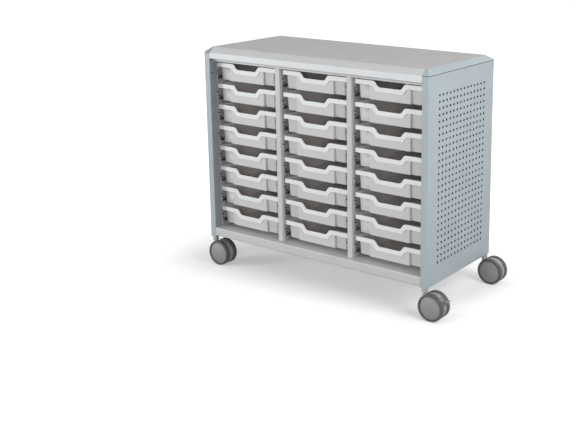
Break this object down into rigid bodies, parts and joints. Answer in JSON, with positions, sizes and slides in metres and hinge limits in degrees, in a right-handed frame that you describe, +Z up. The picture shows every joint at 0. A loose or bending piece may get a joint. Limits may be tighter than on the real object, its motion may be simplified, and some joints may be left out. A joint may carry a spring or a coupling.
{
  "type": "classroom tray storage unit",
  "caption": "Mobile classroom storage unit: columns of pull-out trays between perforated steel sides, under a flat top with sloping edges, on twin-wheel casters.",
  "frame": {"origin": "on the floor under the middle of the carcass", "axes": "+X to the right along the width, the trays' lips face -Y, +Z up"},
  "size_m": [1.1595, 0.5104, 0.918],
  "materials": {
    "side_steel": "pale blue-grey powder coat, satin",
    "frame_steel": "light grey powder coat, satin",
    "top_laminate": "warm grey matt laminate over board",
    "cap_plastic": "pale blue-grey moulded plastic, matt",
    "runner_plastic": "grey moulded plastic, satin",
    "tray_plastic": "light grey moulded polypropylene, satin",
    "caster_plastic": "silver-grey moulded nylon, satin",
    "wheel_rubber": "dark grey tread round a mid-grey hub disc",
    "zinc_steel": "zinc plated"
  },
  "bodies": {
    "carcass": {"top_panel": "top_laminate", "bottom_shelf": "frame_steel", "back_panel": "frame_steel", "side_panel_left": "side_steel", "end_cap_left": "cap_plastic", "divider_left": "frame_steel", "side_panel_right": "side_steel", "end_cap_right": "cap_plastic", "divider_right": "frame_steel", "runner_rack_left_bay_left": "runner_plastic", "runner_rack_left_bay_right": "runner_plastic", "runner_rack_centre_bay_left": "runner_plastic", "runner_rack_centre_bay_right": "runner_plastic", "runner_rack_right_bay_left": "runner_plastic", "runner_rack_right_bay_right": "runner_plastic", "corner_post_front_left": "zinc_steel", "corner_post_front_right": "zinc_steel", "corner_post_rear_left": "zinc_steel", "corner_post_rear_right": "zinc_steel"},
    "tray_left_1": {"tray_left_1": "tray_plastic"},
    "tray_left_2": {"tray_left_2": "tray_plastic"},
    "tray_left_3": {"tray_left_3": "tray_plastic"},
    "tray_left_4": {"tray_left_4": "tray_plastic"},
    "tray_left_5": {"tray_left_5": "tray_plastic"},
    "tray_left_6": {"tray_left_6": "tray_plastic"},
    "tray_left_7": {"tray_left_7": "tray_plastic"},
    "tray_left_8": {"tray_left_8": "tray_plastic"},
    "tray_centre_1": {"tray_centre_1": "tray_plastic"},
    "tray_centre_2": {"tray_centre_2": "tray_plastic"},
    "tray_centre_3": {"tray_centre_3": "tray_plastic"},
    "tray_centre_4": {"tray_centre_4": "tray_plastic"},
    "tray_centre_5": {"tray_centre_5": "tray_plastic"},
    "tray_centre_6": {"tray_centre_6": "tray_plastic"},
    "tray_centre_7": {"tray_centre_7": "tray_plastic"},
    "tray_centre_8": {"tray_centre_8": "tray_plastic"},
    "tray_right_1": {"tray_right_1": "tray_plastic"},
    "tray_right_2": {"tray_right_2": "tray_plastic"},
    "tray_right_3": {"tray_right_3": "tray_plastic"},
    "tray_right_4": {"tray_right_4": "tray_plastic"},
    "tray_right_5": {"tray_right_5": "tray_plastic"},
    "tray_right_6": {"tray_right_6": "tray_plastic"},
    "tray_right_7": {"tray_right_7": "tray_plastic"},
    "tray_right_8": {"tray_right_8": "tray_plastic"},
    "caster_front_left": {"caster_hood_front_left": "caster_plastic", "caster_axle_front_left": "zinc_steel"},
    "caster_wheel_front_left_fore": {"caster_wheel_front_left_fore": "wheel_rubber"},
    "caster_wheel_front_left_aft": {"caster_wheel_front_left_aft": "wheel_rubber"},
    "caster_front_right": {"caster_hood_front_right": "caster_plastic", "caster_axle_front_right": "zinc_steel"},
    "caster_wheel_front_right_fore": {"caster_wheel_front_right_fore": "wheel_rubber"},
    "caster_wheel_front_right_aft": {"caster_wheel_front_right_aft": "wheel_rubber"},
    "caster_rear_left": {"caster_hood_rear_left": "caster_plastic", "caster_axle_rear_left": "zinc_steel"},
    "caster_wheel_rear_left_fore": {"caster_wheel_rear_left_fore": "wheel_rubber"},
    "caster_wheel_rear_left_aft": {"caster_wheel_rear_left_aft": "wheel_rubber"},
    "caster_rear_right": {"caster_hood_rear_right": "caster_plastic", "caster_axle_rear_right": "zinc_steel"},
    "caster_wheel_rear_right_fore": {"caster_wheel_rear_right_fore": "wheel_rubber"},
    "caster_wheel_rear_right_aft": {"caster_wheel_rear_right_aft": "wheel_rubber"},
    "brake_lever_front_right": {"brake_lever_front_right": "caster_plastic"}
  },
  "joints": [
    {"name": "brake_lever_front_right_press", "type": "hinge", "parent": "caster_front_right", "child": "brake_lever_front_right", "pos_m": [0.59288, -0.2245, 0.07878], "axis": [0, 1, 0], "range_deg": [0, 18]},
    {"name": "caster_front_left_swivel", "type": "hinge", "parent": "carcass", "child": "caster_front_left", "pos_m": [-0.5206, -0.2245, 0.115], "axis": [0, 0, 1], "continuous": true},
    {"name": "caster_front_right_swivel", "type": "hinge", "parent": "carcass", "child": "caster_front_right", "pos_m": [0.5206, -0.2245, 0.115], "axis": [0, 0, 1], "continuous": true},
    {"name": "caster_rear_left_swivel", "type": "hinge", "parent": "carcass", "child": "caster_rear_left", "pos_m": [-0.5206, 0.2245, 0.115], "axis": [0, 0, 1], "continuous": true},
    {"name": "caster_rear_right_swivel", "type": "hinge", "parent": "carcass", "child": "caster_rear_right", "pos_m": [0.5206, 0.2245, 0.115], "axis": [0, 0, 1], "continuous": true},
    {"name": "caster_wheel_front_left_fore_spin", "type": "hinge", "parent": "caster_front_left", "child": "caster_wheel_front_left_fore", "pos_m": [-0.4826, -0.2245, 0.052], "axis": [0, 1, 0], "continuous": true},
    {"name": "caster_wheel_front_left_aft_spin", "type": "hinge", "parent": "caster_front_left", "child": "caster_wheel_front_left_aft", "pos_m": [-0.4826, -0.2245, 0.052], "axis": [0, 1, 0], "continuous": true},
    {"name": "caster_wheel_front_right_fore_spin", "type": "hinge", "parent": "caster_front_right", "child": "caster_wheel_front_right_fore", "pos_m": [0.5586, -0.2245, 0.052], "axis": [0, 1, 0], "continuous": true},
    {"name": "caster_wheel_front_right_aft_spin", "type": "hinge", "parent": "caster_front_right", "child": "caster_wheel_front_right_aft", "pos_m": [0.5586, -0.2245, 0.052], "axis": [0, 1, 0], "continuous": true},
    {"name": "caster_wheel_rear_left_fore_spin", "type": "hinge", "parent": "caster_rear_left", "child": "caster_wheel_rear_left_fore", "pos_m": [-0.4826, 0.2245, 0.052], "axis": [0, 1, 0], "continuous": true},
    {"name": "caster_wheel_rear_left_aft_spin", "type": "hinge", "parent": "caster_rear_left", "child": "caster_wheel_rear_left_aft", "pos_m": [-0.4826, 0.2245, 0.052], "axis": [0, 1, 0], "continuous": true},
    {"name": "caster_wheel_rear_right_fore_spin", "type": "hinge", "parent": "caster_rear_right", "child": "caster_wheel_rear_right_fore", "pos_m": [0.5586, 0.2245, 0.052], "axis": [0, 1, 0], "continuous": true},
    {"name": "caster_wheel_rear_right_aft_spin", "type": "hinge", "parent": "caster_rear_right", "child": "caster_wheel_rear_right_aft", "pos_m": [0.5586, 0.2245, 0.052], "axis": [0, 1, 0], "continuous": true},
    {"name": "tray_left_1_slide", "type": "slide", "parent": "carcass", "child": "tray_left_1", "axis": [0, -1, 0], "range_m": [0, 0.33]},
    {"name": "tray_left_2_slide", "type": "slide", "parent": "carcass", "child": "tray_left_2", "axis": [0, -1, 0], "range_m": [0, 0.33]},
    {"name": "tray_left_3_slide", "type": "slide", "parent": "carcass", "child": "tray_left_3", "axis": [0, -1, 0], "range_m": [0, 0.33]},
    {"name": "tray_left_4_slide", "type": "slide", "parent": "carcass", "child": "tray_left_4", "axis": [0, -1, 0], "range_m": [0, 0.33]},
    {"name": "tray_left_5_slide", "type": "slide", "parent": "carcass", "child": "tray_left_5", "axis": [0, -1, 0], "range_m": [0, 0.33]},
    {"name": "tray_left_6_slide", "type": "slide", "parent": "carcass", "child": "tray_left_6", "axis": [0, -1, 0], "range_m": [0, 0.33]},
    {"name": "tray_left_7_slide", "type": "slide", "parent": "carcass", "child": "tray_left_7", "axis": [0, -1, 0], "range_m": [0, 0.33]},
    {"name": "tray_left_8_slide", "type": "slide", "parent": "carcass", "child": "tray_left_8", "axis": [0, -1, 0], "range_m": [0, 0.33]},
    {"name": "tray_centre_1_slide", "type": "slide", "parent": "carcass", "child": "tray_centre_1", "axis": [0, -1, 0], "range_m": [0, 0.33]},
    {"name": "tray_centre_2_slide", "type": "slide", "parent": "carcass", "child": "tray_centre_2", "axis": [0, -1, 0], "range_m": [0, 0.33]},
    {"name": "tray_centre_3_slide", "type": "slide", "parent": "carcass", "child": "tray_centre_3", "axis": [0, -1, 0], "range_m": [0, 0.33]},
    {"name": "tray_centre_4_slide", "type": "slide", "parent": "carcass", "child": "tray_centre_4", "axis": [0, -1, 0], "range_m": [0, 0.33]},
    {"name": "tray_centre_5_slide", "type": "slide", "parent": "carcass", "child": "tray_centre_5", "axis": [0, -1, 0], "range_m": [0, 0.33]},
    {"name": "tray_centre_6_slide", "type": "slide", "parent": "carcass", "child": "tray_centre_6", "axis": [0, -1, 0], "range_m": [0, 0.33]},
    {"name": "tray_centre_7_slide", "type": "slide", "parent": "carcass", "child": "tray_centre_7", "axis": [0, -1, 0], "range_m": [0, 0.33]},
    {"name": "tray_centre_8_slide", "type": "slide", "parent": "carcass", "child": "tray_centre_8", "axis": [0, -1, 0], "range_m": [0, 0.33]},
    {"name": "tray_right_1_slide", "type": "slide", "parent": "carcass", "child": "tray_right_1", "axis": [0, -1, 0], "range_m": [0, 0.33]},
    {"name": "tray_right_2_slide", "type": "slide", "parent": "carcass", "child": "tray_right_2", "axis": [0, -1, 0], "range_m": [0, 0.33]},
    {"name": "tray_right_3_slide", "type": "slide", "parent": "carcass", "child": "tray_right_3", "axis": [0, -1, 0], "range_m": [0, 0.33]},
    {"name": "tray_right_4_slide", "type": "slide", "parent": "carcass", "child": "tray_right_4", "axis": [0, -1, 0], "range_m": [0, 0.33]},
    {"name": "tray_right_5_slide", "type": "slide", "parent": "carcass", "child": "tray_right_5", "axis": [0, -1, 0], "range_m": [0, 0.33]},
    {"name": "tray_right_6_slide", "type": "slide", "parent": "carcass", "child": "tray_right_6", "axis": [0, -1, 0], "range_m": [0, 0.33]},
    {"name": "tray_right_7_slide", "type": "slide", "parent": "carcass", "child": "tray_right_7", "axis": [0, -1, 0], "range_m": [0, 0.33]},
    {"name": "tray_right_8_slide", "type": "slide", "parent": "carcass", "child": "tray_right_8", "axis": [0, -1, 0], "range_m": [0, 0.33]}
  ]
}
